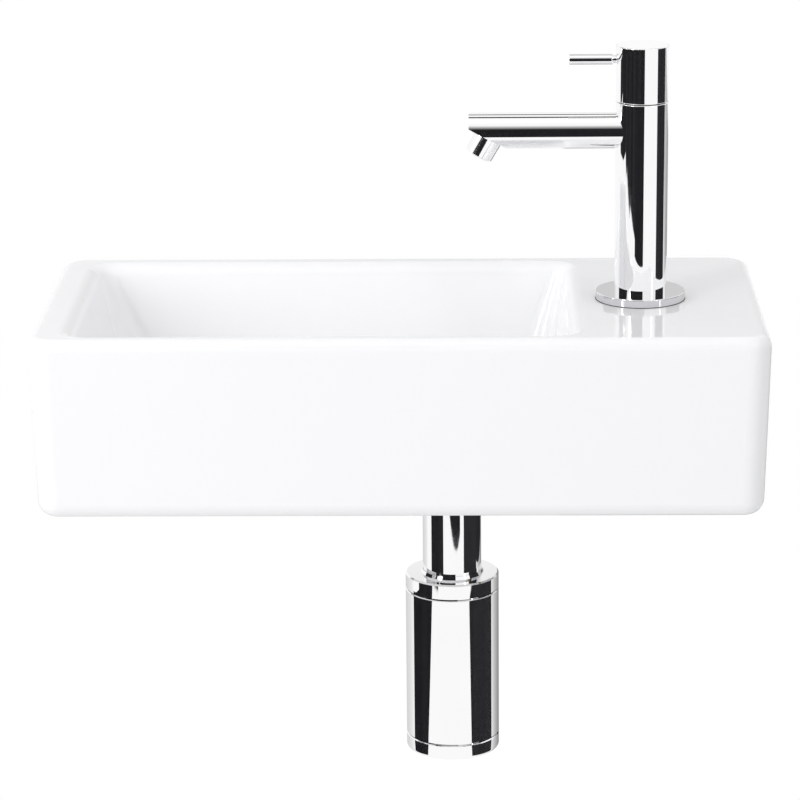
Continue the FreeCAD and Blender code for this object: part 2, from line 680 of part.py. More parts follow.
def deck_washer():
    high = -DECK_THICKNESS
    return at_tap(ring(DECK_WASHER_R, SHANK_R + THREAD_FIT, high - DECK_WASHER_T, high))


def clamp_washer():
    high = -DECK_THICKNESS - DECK_WASHER_T
    return at_tap(ring(DECK_WASHER_R, SHANK_R + THREAD_FIT, high - CLAMP_WASHER_T, high))


def tap_backnut():
    high = BACKNUT_Z + BACKNUT_T
    bore = cylinder(SHANK_R + THREAD_FIT, BACKNUT_Z, high)
    return at_tap(prism(6, BACKNUT_FLATS, BACKNUT_Z, high).cut(bore))


def waste_body():
    """Flange with a shelf for the strainer, and a threaded tail."""
    bore_r = WASTE_THREAD_R - WASTE_WALL
    top = FLANGE_UNDER_Z + WASTE_FLANGE_T
    shelf = top - STRAINER_T
    body = turned((bore_r, TAIL_END_Z), (WASTE_THREAD_R, TAIL_END_Z), (WASTE_THREAD_R, FLANGE_UNDER_Z),
                  (WASTE_FLANGE_R, FLANGE_UNDER_Z), (WASTE_FLANGE_R, top - EDGE_BREAK),
                  (WASTE_FLANGE_R - EDGE_BREAK, top), (STRAINER_R, top), (STRAINER_R, shelf), (bore_r, shelf))
    return at_drain(body)


def waste_strainer():
    top = FLANGE_UNDER_Z + WASTE_FLANGE_T
    plate = cylinder(STRAINER_R - FIT, top - STRAINER_T, top)
    return at_drain(plate.cut(grid_drills(STRAINER_PITCH, STRAINER_HOLE_R, top - STRAINER_T, top)))


def waste_top_seal():
    return at_drain(ring(WASTE_FLANGE_R - WASTE_SEAT_GAP, DRAIN_HOLE_R, DRAIN_SEAT_Z, FLANGE_UNDER_Z))


def boss_washer(low, high):
    return at_drain(ring(DRAIN_BOSS_R - WASTE_SEAT_GAP, WASTE_THREAD_R + THREAD_FIT, low, high))


def waste_bottom_seal():
    return boss_washer(SLIP_WASHER_Z, BOSS_Z)


def waste_slip_washer():
    return boss_washer(WASTE_NUT_Z, SLIP_WASHER_Z)


def waste_backnut():
    low = WASTE_NUT_Z - WASTE_NUT_T
    bore = cylinder(WASTE_THREAD_R + THREAD_FIT, low, WASTE_NUT_Z)
    return at_drain(prism(6, WASTE_NUT_FLATS, low, WASTE_NUT_Z).cut(bore))


def union_nut():
    """Eight-sided nut whose lip lifts the flared tube against the tail."""
    high = TAIL_END_Z + UNION_GRIP
    low = UNION_LIP_Z - UNION_LIP_T
    nut = prism(8, UNION_FLATS, low, high)
    nut = nut.cut(cylinder(WASTE_THREAD_R + THREAD_FIT, UNION_LIP_Z, high))
    return at_drain(nut.cut(cylinder(TUBE_R + THREAD_FIT, low, UNION_LIP_Z)))


def union_seal():
    return at_drain(ring(FLARE_R, TUBE_R, FLARE_Z, TAIL_END_Z))


def dip_tube():
    bore_r = TUBE_R - TUBE_WALL
    return at_drain(turned((bore_r, TUBE_END_Z), (TUBE_R, TUBE_END_Z), (TUBE_R, UNION_LIP_Z),
                           (FLARE_R, UNION_LIP_Z), (FLARE_R, FLARE_Z), (bore_r, FLARE_Z)))


def collar_nut():
    """Gland nut: flat top with a low conical lip round the tube, and a threaded skirt."""
    hole_r = TUBE_R + THREAD_FIT
    skirt_r = NECK_R + THREAD_FIT
    return at_drain(turned((hole_r, SLIP_RING_Z), (hole_r, COLLAR_TOP_Z + COLLAR_LIP_H),
                           (hole_r + COLLAR_LIP_W / 3, COLLAR_TOP_Z + COLLAR_LIP_H),
                           (hole_r + COLLAR_LIP_W, COLLAR_TOP_Z), (TRAP_R - COLLAR_BEVEL, COLLAR_TOP_Z),
                           (TRAP_R, COLLAR_TOP_Z - COLLAR_BEVEL), (TRAP_R, COLLAR_UNDER_Z + EDGE_BREAK),
                           (TRAP_R - EDGE_BREAK, COLLAR_UNDER_Z), (skirt_r, COLLAR_UNDER_Z),
                           (skirt_r, SLIP_RING_Z)))


def slip_ring():
    return at_drain(ring(NECK_R - LOOSE, TUBE_R + THREAD_FIT, GLAND_SEAL_Z, SLIP_RING_Z))


def gland_seal():
    return at_drain(ring(NECK_R - LOOSE, TUBE_R + THREAD_FIT, NECK_TOP_Z, GLAND_SEAL_Z))


def outlet_rod(radius, low, high):
    """Plain cylinder on the outlet's axis, still in the trap's own frame."""
    rod = cylinder(radius, low, high)
    rod.Placement = OUTLET_FRAME
    return rod


def trap_body():
    """Bottle: threaded neck, plain cylinder open below, and a side hole towards the wall."""
    neck_hole_r = TUBE_R + LOOSE
    bottle = turned((neck_hole_r, NECK_TOP_Z), (NECK_R, NECK_TOP_Z), (NECK_R, SHOULDER_Z),
                    (TRAP_R - EDGE_BREAK, SHOULDER_Z), (TRAP_R, SHOULDER_Z - EDGE_BREAK),
                    (TRAP_R, BOTTLE_END_Z + EDGE_BREAK), (TRAP_R - EDGE_BREAK, BOTTLE_END_Z),
                    (BOTTLE_BORE_R, BOTTLE_END_Z), (BOTTLE_BORE_R, BOTTLE_ROOF_Z),
                    (neck_hole_r, BOTTLE_ROOF_Z))
    return at_drain(bottle.cut(outlet_rod(SPIGOT_R + FIT, 0, SPIGOT_LENGTH)))


def outlet_spigot():
    """Short tube brazed into the side of the bottle, with a stop for the wall pipe."""
    stop = SPIGOT_LENGTH - PIPE_SOCKET
    spigot = outlet_rod(SPIGOT_R, 0, SPIGOT_LENGTH).cut(cylinder(BOTTLE_BORE_R, BOTTLE_END_Z, SHOULDER_Z))
    spigot = spigot.cut(outlet_rod(SPIGOT_BORE_R - PIPE_STOP, 0, stop))
    return at_drain(spigot.cut(outlet_rod(SPIGOT_BORE_R, stop, SPIGOT_LENGTH)))


def cleaning_cap():
    """Screw cap: hollow threaded plug with a ring groove, over a rounded bottom."""
    plug_top = CAP_TOP_Z + CAP_GRIP
    cavity_r = CAP_PLUG_R - CAP_WALL
    groove_r = CAP_PLUG_R - 2 * CAP_RING_R
    groove_low = CAP_TOP_Z + CAP_RING_RISE - CAP_RING_R
    groove_high = CAP_TOP_Z + CAP_RING_RISE + CAP_RING_R
    cap = cylinder(TRAP_R, CAP_UNDER_Z, CAP_TOP_Z)
    cap = round_rims(cap, CAP_EDGE_R, (TRAP_R, CAP_UNDER_Z))
    cap = round_rims(cap, EDGE_BREAK, (TRAP_R, CAP_TOP_Z))
    cap = cap.fuse(cylinder(CAP_PLUG_R, CAP_TOP_Z, plug_top))
    cap = cap.cut(ring(TRAP_R, groove_r, groove_low, groove_high))
    return at_drain(cap.cut(cylinder(cavity_r, CAP_UNDER_Z + CAP_FLOOR_T, plug_top)))


def cap_seal():
    centre = Vector(0, 0, CAP_TOP_Z + CAP_RING_RISE)
    return at_drain(Part.makeTorus(CAP_PLUG_R - CAP_RING_R, CAP_RING_R - FIT, centre))


def outlet_nut():
    """Round nut with a lip that presses the slip ring and seal on the wall pipe."""
    low = SPIGOT_LENGTH - OUTLET_NUT_GRIP
    high = OUTLET_LIP_Y + OUTLET_LIP_T
    nut = prism(8, 2 * OUTLET_NUT_R, low, high)
    nut = nut.cut(cylinder(SPIGOT_R + THREAD_FIT, low, OUTLET_LIP_Y))
    return at_outlet(nut.cut(cylinder(SPIGOT_BORE_R, OUTLET_LIP_Y, high)))


def outlet_seal():
    return at_outlet(ring(SPIGOT_R, SPIGOT_BORE_R, SPIGOT_LENGTH, OUTLET_SLIP_Y))


def outlet_slip_ring():
    return at_outlet(ring(SPIGOT_R, SPIGOT_BORE_R, OUTLET_SLIP_Y, OUTLET_LIP_Y))


PIECES = (basin,
          tap_flange, flange_seal, tap_body, spout, aerator_housing, aerator_seal, aerator_insert,
          cartridge_body, cartridge_seal, fixed_disc, moving_disc, spindle, spindle_seal,
          handle_cap, lever_pin, grub_screw,
          tap_shank, deck_washer, clamp_washer, tap_backnut,
          waste_body, waste_strainer, waste_top_seal, waste_bottom_seal, waste_slip_washer, waste_backnut,
          union_nut, union_seal, dip_tube,
          collar_nut, slip_ring, gland_seal, trap_body, cleaning_cap, cap_seal,
          outlet_spigot, outlet_nut, outlet_seal, outlet_slip_ring)

os.makedirs("parts", exist_ok=True)
for piece in PIECES:
    solid = piece().Solids[0]
    solid.translate(Vector(0, 0, FIXING_DROP))
    solid.exportStep(f"parts/{piece.__name__}.step")
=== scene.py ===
import math
from typing import NamedTuple

import bmesh
import bpy
from mathutils import Matrix, Vector


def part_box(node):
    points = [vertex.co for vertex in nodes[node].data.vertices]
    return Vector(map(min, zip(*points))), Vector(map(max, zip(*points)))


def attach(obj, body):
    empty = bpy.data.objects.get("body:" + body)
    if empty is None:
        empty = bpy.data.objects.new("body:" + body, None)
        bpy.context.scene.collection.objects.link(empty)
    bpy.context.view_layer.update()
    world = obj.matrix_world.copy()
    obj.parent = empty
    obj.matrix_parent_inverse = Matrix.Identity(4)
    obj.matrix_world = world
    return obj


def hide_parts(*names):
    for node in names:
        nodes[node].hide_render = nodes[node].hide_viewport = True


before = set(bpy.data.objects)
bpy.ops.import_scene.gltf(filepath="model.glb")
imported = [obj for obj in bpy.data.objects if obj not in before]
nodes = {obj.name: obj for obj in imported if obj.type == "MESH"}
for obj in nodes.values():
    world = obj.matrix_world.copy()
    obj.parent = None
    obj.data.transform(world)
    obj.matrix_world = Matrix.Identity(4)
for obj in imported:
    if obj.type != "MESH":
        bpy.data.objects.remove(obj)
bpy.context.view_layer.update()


class Card(NamedTuple):
    """Upright rectangle across the Y axis, in metres."""
    y: float
    left: float
    right: float
    low: float
    high: float

    def corners(self):
        return [(self.left, self.y, self.low), (self.right, self.y, self.low),
                (self.right, self.y, self.high), (self.left, self.y, self.high)]


# Viewpoint of the photograph: place in metres, angles in degrees, lens on a 36 mm sensor
CAMERA_PLACE = Vector((0.0395, -1.8864, 0.5153))
CAMERA_LEFT = 1.31
CAMERA_DOWN = 15.9
CAMERA_ROLL = -0.55
SENSOR_MM = 36.0
LENS_MM = 154.5

# Studio, in metres: the floor lies about 0.8 m below the basin
FLOOR_Z = -0.81
FLOOR_HALF = 6.0
FLOOR_TONE = 0.85
FLOOR_ROUGHNESS = 0.9
ROOM_LIGHT = 0.803
WHITE = 1.0

# Softboxes: name, place, width and height in metres, watts, whether they glint in gloss
LAMP_TARGET = Vector((0.0, -0.1, 0.0))
LAMPS = (
    ("key_left", (-1.35, -1.5, 0.72), 0.3, 1.3, 12.0, True),
    ("side_left", (-1.9, -0.5, 0.6), 0.25, 1.0, 4.0, True),
    ("right", (1.4, -1.2, 0.9), 0.1, 1.0, 1.1, True),
    ("side_right", (1.5, -0.2, 0.9), 0.3, 1.0, 1.4, False),
    ("top", (0.2, -0.4, 1.6), 0.9, 0.6, 0.3, True),
)

# Black card and felt: tones, and the number of upright streaks or patches to the metre
CARD_BLACK = (0.004, 0.004, 0.005)
CARD_SHEEN = (0.045, 0.045, 0.05)
CARD_STREAKS = 5.0
FELT_PATCHES = 30.0

# Black cards in front of the object: outlines of (x, z) points in metres
FRONT_Y = -1.1
FRONT_FLAGS = (
    ("front_flag", ((-1.2, -0.255), (-0.876, -0.209), (-0.54, -0.176), (-0.37, -0.165), (0.05, -0.147),
                    (0.27, -0.149), (0.27, 0.5), (-0.2, 0.5), (-0.35, 0.44), (-1.2, 0.44))),
    ("tube_flag", ((-0.22, -0.368), (0.67, -0.453), (0.67, -0.3), (-0.22, -0.3))),
)

# Black cards beside the object: their place on the X axis, and outlines of (y, z) points in metres
SIDE_FLAGS = (
    ("left_flag", -1.2, ((0.4, -0.138), (-0.42, -0.138), (-0.5, -0.165), (-0.634, -0.172), (-1.1, -0.27),
                         (-1.1, 0.44), (0.4, 0.44))),
    ("right_flag", 1.1, ((-0.5, -0.35), (0.42, -0.35), (0.42, 0.5), (-0.5, 0.5))),
    ("trap_flag_left", -0.224, ((-0.018, -0.36), (-0.205, -0.36), (-0.235, -0.287), (-0.322, -0.2),
                                (-0.473, -0.245), (-0.473, -0.1), (-0.11, -0.1), (-0.11, -0.178),
                                (-0.018, -0.185))),
    ("trap_flag_right", 0.276, ((-0.006, -0.36), (-0.31, -0.36), (-0.33, -0.313), (-0.376, -0.226),
                                (-0.33, -0.205), (-0.32, -0.1), (0.38, -0.1), (0.38, -0.24),
                                (-0.006, -0.17))),
)

# Black cards close to the tap and behind it, and a level one above, in metres
NEAR_FLAG = Card(y=-0.3, left=0.02, right=0.155, low=0.036, high=0.13)
REAR_DARK = Card(y=0.5, left=-0.4, right=0.4, low=0.64, high=0.84)
GAP_Z = 1.5
GAP_HALF = 1.5
GAP_NEAR = 0.15
GAP_FAR = 0.42

# Grey cards, in metres, and the tones that they fade between
FRONT_FADE = Card(y=FRONT_Y, left=-0.2, right=0.27, low=0.5, high=1.12)
FRONT_FADE_TONES = (0.03, WHITE)
LEFT_CARD = Card(y=0.35, left=-1.1, right=0.1, low=-0.7, high=-0.2)
LEFT_CARD_TONES = (0.95, 0.6)
RIGHT_CARD = Card(y=0.35, left=0.1, right=1.1, low=-0.7, high=-0.085)
RIGHT_CARD_TONES = (0.2, 0.9)
SHADE_CARD = Card(y=0.35, left=0.1, right=1.1, low=-0.085, high=0.06)
SHADE_NEAR = (0.2, 0.2, 0.2)
SHADE_FAR = (0.95, 0.95, 0.95)
SHADE_NEAR_GLOW = 0.84
SHADE_FAR_GLOW = 0.24
DECK_CARD = Card(y=0.5, left=-0.5, right=2.0, low=0.07, high=0.27)
DECK_CARD_TONE = 0.69
DECK_FADE_LEFT = -0.45
DECK_FADE_RIGHT = 0.0
DECK_FADE_TOP = 0.18

# Felt screens: name, place on the X axis, front and rear edge, low and high edge in metres
FELT_SCREENS = (
    ("left_screen", -1.25, -0.2, 1.1, -0.35, 0.22),
    ("right_screen", 1.15, -0.65, 0.7, -0.35, 0.33),
)

# Range that most values of a noise texture lie in
NOISE_LOW = 0.3
NOISE_HIGH = 0.7

# Glaze, in metres along the Y axis: where it ends and the bare face starts, and how far that edge wanders
GLAZE_END = -0.0016
BARE_START = -0.0007
GLAZE_WANDER = 0.0006

# Depth of ripples and surface marks, in metres
GLAZE_RIPPLE = 0.00022
GLAZE_PEEL = 0.000004
BUFFING_DEPTH = 0.000004
TOOL_RING_DEPTH = 0.00003
RUBBER_GRAIN_DEPTH = 0.00004
STREAK_DEPTH = 0.00002
PLASTIC_SKIN_DEPTH = 0.00001

# Sockets of a colour mix node
MIX_SHARE = 0
MIX_LOW = 6
MIX_HIGH = 7
MIX_COLOUR = 2

# The pressed foot plate of the tap has a thinner, greyer plating than the turned pieces; its upright edge
# is darker still, as painted shade
FOOT_LOW = (0.82, 0.82, 0.83)
FOOT_HIGH = (0.85, 0.85, 0.86)
FOOT_EDGE_SHADE = (0.64, 0.64, 0.66)

# The headwork under the handle is coloured dark as painted shade, for the shaded seam gap that it shows
# through
SEAM_SHADE_LOW = (0.16, 0.14, 0.11)
SEAM_SHADE_HIGH = (0.24, 0.21, 0.16)

# Threads of the tap tail and the cleaning cap, in metres
TAIL_BORE_R = 0.005
TAIL_PITCH = 0.001814
TAIL_THREAD_DEPTH = 0.001
TAIL_CHAMFER = 0.0012
TAIL_GROOVE_W = 0.0015
TAIL_GROOVE_DEPTH = 0.0009
CAP_SEAM = 0.0003
CAP_PLUG_STEP = 0.0021
CAP_WALL = 0.0025
CAP_EDGE_R = 0.0015
CAP_EDGE_BREAK = 0.0005
CAP_GROOVE_RISE = 0.0022
CAP_GROOVE_R = 0.0007
CAP_PITCH = 0.003
CAP_THREAD_DEPTH = 0.0009
CAP_EDGE_STEPS = 6
ROWS_PER_PITCH = 10

# Spout, in metres: upright end, slanted nose below it, root in the column, and the aerator's ring
NOSE_UPRIGHT = 0.0069
NOSE_ANGLE = math.radians(29.0)
SPOUT_INSET = 0.0041
AERATOR_SET = 0.01216
AERATOR_R = 0.0077
AERATOR_TAPER = 0.0003
AERATOR_LENGTH = 0.0111
AERATOR_WALL = 0.0014
AERATOR_BORE_R = 0.0056
AERATOR_SHELF = 0.00435
AERATOR_EDGE = 0.0005

# Thin dark rubber ring round the foot plate of the tap, painted shade for its contact shadow line, in
# metres
SHADOW_LINE_GAP = 0.00002
SHADOW_LINE_W = 0.00012
SHADOW_LINE_H = 0.00035

# Meshes: steps of a turn and of an arc, merging distance in metres, angle in degrees of a crisp edge
TURN_STEPS = 160
ARC_STEPS = 128
MERGE_GAP = 1e-7
SHARP_ANGLE = 25.0


class Finish:
    """Procedural material: one Principled shader fed from object coordinates."""

    def __init__(self, name, sockets):
        self.material = bpy.data.materials.new(name)
        self.material.use_nodes = True
        self.tree = self.material.node_tree
        self.shader = self.tree.nodes["Principled BSDF"]
        self.place = self.add("ShaderNodeTexCoord").outputs["Object"]
        for socket, value in sockets.items():
            self.shader.inputs[socket].default_value = value

    def add(self, kind, **settings):
        node = self.tree.nodes.new(kind)
        for name, value in settings.items():
            setattr(node, name, value)
        return node

    def noise(self, scale, detail=2.0, stretch=(1.0, 1.0, 1.0)):
        """Noise with about scale patches to the metre, drawn out along an axis by stretch."""
        mapping = self.add("ShaderNodeMapping")
        mapping.inputs["Scale"].default_value = stretch
        self.tree.links.new(self.place, mapping.inputs["Vector"])
        texture = self.add("ShaderNodeTexNoise")
        texture.inputs["Scale"].default_value = scale
        texture.inputs["Detail"].default_value = detail
        self.tree.links.new(mapping.outputs["Vector"], texture.inputs["Vector"])
        return texture.outputs["Fac"]

    def axis(self, letter):
        split = self.add("ShaderNodeSeparateXYZ")
        self.tree.links.new(self.place, split.inputs["Vector"])
        return split.outputs[letter]

    def span(self, source, start, end, low, high):
        """Map a value from start..end to low..high, held at the ends."""
        node = self.add("ShaderNodeMapRange")
        node.inputs["From Min"].default_value = start
        node.inputs["From Max"].default_value = end
        node.inputs["To Min"].default_value = low
        node.inputs["To Max"].default_value = high
        self.tree.links.new(source, node.inputs["Value"])
        return node.outputs["Result"]

    def total(self, first, second, operation="ADD"):
        node = self.add("ShaderNodeMath", operation=operation)
        self.tree.links.new(first, node.inputs[0])
        self.tree.links.new(second, node.inputs[1])
        return node.outputs["Value"]

    def tint(self, share, low, high):
        """Colour between low and high; each is a colour or another node's output."""
        node = self.add("ShaderNodeMix", data_type="RGBA")
        self.tree.links.new(share, node.inputs[MIX_SHARE])
        for socket, colour in ((node.inputs[MIX_LOW], low), (node.inputs[MIX_HIGH], high)):
            if isinstance(colour, bpy.types.NodeSocket):
                self.tree.links.new(colour, socket)
            else:
                socket.default_value = (*colour, 1.0)
        return node.outputs[MIX_COLOUR]

    def feed(self, socket, source):
        self.tree.links.new(source, self.shader.inputs[socket])

    def bump(self, *layers):
        """Stack (height output, depth in metres) layers into the shader's normal."""
        normal = None
        for height, depth in layers:
            node = self.add("ShaderNodeBump")
            node.inputs["Distance"].default_value = depth
            self.tree.links.new(height, node.inputs["Height"])
            if normal:
                self.tree.links.new(normal, node.inputs["Normal"])
            normal = node.outputs["Normal"]
        self.feed("Normal", normal)


def glazed_ceramic():
    """Vitreous china: clear glaze with a faint ripple, and a bare ground face at the wall."""
    finish = Finish("glaze", {"IOR": 1.52})
    wander = finish.span(finish.noise(60.0), NOISE_LOW, NOISE_HIGH, -GLAZE_WANDER, GLAZE_WANDER)
    bare = finish.span(finish.total(finish.axis("Y"), wander), GLAZE_END, BARE_START, 0.0, 1.0)
    glaze = finish.tint(finish.noise(9.0), (0.918, 0.920, 0.934), (0.930, 0.932, 0.946))
    biscuit = finish.tint(finish.noise(700.0, 4.0), (0.74, 0.71, 0.66), (0.84, 0.82, 0.78))
    finish.feed("Base Color", finish.tint(bare, glaze, biscuit))
    sheen = finish.span(finish.noise(35.0), NOISE_LOW, NOISE_HIGH, 0.045, 0.075)
    dull = finish.span(bare, 0.0, 1.0, 0.0, 0.5)
    finish.feed("Roughness", finish.total(sheen, dull))
    finish.bump((finish.noise(22.0, 1.0), GLAZE_RIPPLE), (finish.noise(420.0, 1.0), GLAZE_PEEL))
    return finish.material


def buffed(finish):
    """Roughness of plating with faint cloudy patches left by the buffing wheel."""
    return finish.span(finish.noise(55.0, 4.0), 0.35, 0.75, 0.012, 0.05)


def chrome():
    """Polished plating of the turned pieces."""
    finish = Finish("chrome_plate", {"Metallic": 1.0})
    finish.feed("Base Color", finish.tint(finish.noise(40.0), (0.93, 0.932, 0.936), (0.96, 0.962, 0.965)))
    finish.feed("Roughness", buffed(finish))
    finish.bump((finish.noise(120.0, 1.0), BUFFING_DEPTH))
    return finish.material


def foot_chrome():
    """Thinner plating of the pressed foot plate, with painted shade that darkens its upright edge."""
    finish = Finish("foot_plate_chrome", {"Metallic": 1.0})
    normal = finish.add("ShaderNodeNewGeometry").outputs["Normal"]
    split = finish.add("ShaderNodeSeparateXYZ")
    finish.tree.links.new(normal, split.inputs["Vector"])
    level = finish.span(split.outputs["Z"], 0.0, 1.0, 0.0, 1.0)
    face = finish.tint(finish.noise(40.0), FOOT_LOW, FOOT_HIGH)
    # Painted shade: faces that turn upright get the darker edge tone, standing in for the shade that the
    # edge mirrors
    finish.feed("Base Color", finish.tint(level, FOOT_EDGE_SHADE, face))
    finish.feed("Roughness", buffed(finish))
    return finish.material


def brass(name="turned_brass", low=(0.64, 0.45, 0.20), high=(0.80, 0.60, 0.31)):
    """Turned brass with tool rings round the upright axis."""
    finish = Finish(name, {"Metallic": 1.0})
    finish.feed("Base Color", finish.tint(finish.noise(90.0, 4.0), low, high))
    rings = finish.noise(160.0, 2.0, (1.0, 1.0, 22.0))
    finish.feed("Roughness", finish.span(rings, NOISE_LOW, NOISE_HIGH, 0.22, 0.4))
    finish.bump((rings, TOOL_RING_DEPTH))
    return finish.material


def rubber():
    """Matt black rubber with a fine moulded grain."""
    finish = Finish("black_rubber", {"IOR": 1.5})
    finish.feed("Base Color", finish.tint(finish.noise(120.0), (0.03, 0.03, 0.032), (0.06, 0.06, 0.062)))
    grain = finish.noise(1800.0, 3.0)
    finish.feed("Roughness", finish.span(grain, NOISE_LOW, NOISE_HIGH, 0.55, 0.8))
    finish.bump((grain, RUBBER_GRAIN_DEPTH))
    return finish.material


def valve_ceramic():
    """Lapped alumina, almost white with fine pores."""
    finish = Finish("alumina", {"IOR": 1.7})
    pores = finish.noise(1500.0, 4.0)
    finish.feed("Base Color", finish.tint(pores, (0.84, 0.82, 0.78), (0.90, 0.89, 0.86)))
    finish.feed("Roughness", finish.span(pores, NOISE_LOW, NOISE_HIGH, 0.15, 0.3))
    return finish.material


def steel():
    """Zinc-plated steel with rolled streaks."""
    finish = Finish("zinc_steel", {"Metallic": 1.0})
    streaks = finish.noise(220.0, 3.0, (1.0, 9.0, 1.0))
    finish.feed("Base Color", finish.tint(streaks, (0.52, 0.53, 0.55), (0.68, 0.68, 0.68)))
    finish.feed("Roughness", finish.span(streaks, NOISE_LOW, NOISE_HIGH, 0.25, 0.45))
    finish.bump((streaks, STREAK_DEPTH))
    return finish.material


def plastic():
    """Moulded white plastic with a satin skin."""
    finish = Finish("satin_plastic", {"IOR": 1.49})
    finish.feed("Base Color", finish.tint(finish.noise(80.0), (0.79, 0.79, 0.77), (0.85, 0.85, 0.83)))
    skin = finish.noise(1400.0, 2.0)
    finish.feed("Roughness", finish.span(skin, NOISE_LOW, NOISE_HIGH, 0.35, 0.5))
    finish.bump((skin, PLASTIC_SKIN_DEPTH))
    return finish.material


def black_card_material():
    """Black card with faint upright streaks, and a glow that only linked pieces receive."""
    finish = Finish("black_card", {"Roughness": 1.0, "Specular IOR Level": 0.0, "Emission Strength": WHITE})
    streaks = finish.noise(CARD_STREAKS, 2.0, (1.0, 1.0, 0.1))
    finish.feed("Base Color", finish.tint(streaks, CARD_BLACK, CARD_SHEEN))
    return finish.material


def fading_card_material(name, axis, start, end, start_tone, end_tone):
    """Glowing card that fades from one tone to another along an axis."""
    finish = Finish(name, {"Base Color": (0.0, 0.0, 0.0, 1.0), "Specular IOR Level": 0.0})
    finish.feed("Emission Strength", finish.span(finish.axis(axis), start, end, start_tone, end_tone))
    return finish.material


def shade_card_material():
    """Grey card that darkens towards the object and glows to white for linked pieces."""
    finish = Finish("shade_card", {"Roughness": 1.0, "Specular IOR Level": 0.0})
    outward = finish.span(finish.axis("X"), SHADE_CARD.left, SHADE_CARD.right, 0.0, 1.0)
    finish.feed("Base Color", finish.tint(outward, SHADE_NEAR, SHADE_FAR))
    finish.feed("Emission Strength", finish.span(outward, 0.0, 1.0, SHADE_NEAR_GLOW, SHADE_FAR_GLOW))
    return finish.material


def deck_card_material():
    """Grey card behind the tap deck that fades into the white room to the left and downwards."""
    finish = Finish("deck_card", {"Base Color": (0.0, 0.0, 0.0, 1.0), "Specular IOR Level": 0.0})
    across = finish.span(finish.axis("X"), DECK_FADE_LEFT, DECK_FADE_RIGHT, 0.0, 1.0)
    upward = finish.span(finish.axis("Z"), DECK_CARD.low, DECK_FADE_TOP, 0.0, 1.0)
    share = finish.total(across, upward, "MULTIPLY")
    finish.feed("Emission Strength", finish.span(share, 0.0, 1.0, WHITE, DECK_CARD_TONE))
    return finish.material


def seen_as_white(tree):
    """1 for camera, glossy and transmission rays, 0 for all others."""
    path = tree.nodes.new("ShaderNodeLightPath")
    share = path.outputs["Is Camera Ray"]
    for ray in ("Is Glossy Ray", "Is Transmission Ray"):
        either = tree.nodes.new("ShaderNodeMath")
        either.operation = "MAXIMUM"
        tree.links.new(share, either.inputs[0])
        tree.links.new(path.outputs[ray], either.inputs[1])
        share = either.outputs["Value"]
    return share


def floor_material():
    """Pale matt floor that the chrome sees as plain white."""
    material = bpy.data.materials.new("studio_floor")
    material.use_nodes = True
    tree = material.node_tree
    shader = tree.nodes["Principled BSDF"]
    shader.inputs["Base Color"].default_value = (FLOOR_TONE, FLOOR_TONE, FLOOR_TONE, 1.0)
    shader.inputs["Roughness"].default_value = FLOOR_ROUGHNESS
    white = tree.nodes.new("ShaderNodeEmission")
    white.inputs["Strength"].default_value = WHITE
    mix = tree.nodes.new("ShaderNodeMixShader")
    output = tree.nodes["Material Output"]
    tree.links.new(seen_as_white(tree), mix.inputs["Fac"])
    tree.links.new(shader.outputs["BSDF"], mix.inputs[1])
    tree.links.new(white.outputs["Emission"], mix.inputs[2])
    tree.links.new(mix.outputs["Shader"], output.inputs["Surface"])
    return material


def sheet(name, corners, material):
    """Flat stage piece through the given corners."""
    mesh = bpy.data.meshes.new(name)
    mesh.from_pydata(corners, [], [range(len(corners))])
    piece = bpy.data.objects.new(name, mesh)
    bpy.context.scene.collection.objects.link(piece)
    piece.data.materials.append(material)
    return piece


def studio_floor():
    """Level floor, hidden from the camera so that the object also shows from below."""
    corners = [(-FLOOR_HALF, -FLOOR_HALF, FLOOR_Z), (FLOOR_HALF, -FLOOR_HALF, FLOOR_Z),
               (FLOOR_HALF, FLOOR_HALF, FLOOR_Z), (-FLOOR_HALF, FLOOR_HALF, FLOOR_Z)]
    piece = sheet("floor", corners, floor_material())
    piece.visible_camera = False


def flag(name, corners, material, hidden_from=None):
    """Card that only shows in reflections, as a studio flag does beside chrome.

    Its glow lights just the pieces of one collection, which then don't see it as dark."""
    piece = sheet(name, corners, material)
    piece.visible_camera = False
    piece.visible_diffuse = False
    piece.visible_shadow = False
    piece.visible_transmission = False
    piece.light_linking.receiver_collection = hidden_from


def black_flags(glazed, nose):
    """Black cards round the object; the glaze sees them all as white, and the aerator the near one."""
    black_card = black_card_material()
    for name, outline in FRONT_FLAGS:
        flag(name, [(x, FRONT_Y, z) for x, z in outline], black_card, glazed)
    flag("near_flag", NEAR_FLAG.corners(), black_card, nose)
    for name, x, outline in SIDE_FLAGS:
        flag(name, [(x, y, z) for y, z in outline], black_card, glazed)
    flag("rear_dark", REAR_DARK.corners(), black_card, glazed)
    flag("gap_near", [(-GAP_HALF, GAP_NEAR, GAP_Z), (GAP_HALF, GAP_NEAR, GAP_Z),
                      (GAP_HALF, GAP_FAR, GAP_Z), (-GAP_HALF, GAP_FAR, GAP_Z)], black_card, glazed)


def grey_cards(glazed):
    """Cards that fade into the white room; the glaze sees the shade card as white."""
    fade = fading_card_material("front_fade", "Z", FRONT_FADE.low, FRONT_FADE.high, *FRONT_FADE_TONES)
    flag("front_fade", FRONT_FADE.corners(), fade)
    flag("deck_card", DECK_CARD.corners(), deck_card_material())
    fade = fading_card_material("left_card", "X", LEFT_CARD.left, LEFT_CARD.right, *LEFT_CARD_TONES)
    flag("left_card", LEFT_CARD.corners(), fade)
    fade = fading_card_material("right_card", "X", RIGHT_CARD.left, RIGHT_CARD.right, *RIGHT_CARD_TONES)
    flag("right_card", RIGHT_CARD.corners(), fade)
    flag("shade_card", SHADE_CARD.corners(), shade_card_material(), glazed)


def felt_material():
    """Black felt that soaks up light."""
    finish = Finish("black_felt", {"Roughness": 1.0, "Specular IOR Level": 0.0})
    finish.feed("Base Color", finish.tint(finish.noise(FELT_PATCHES), CARD_BLACK, CARD_SHEEN))
    return finish.material


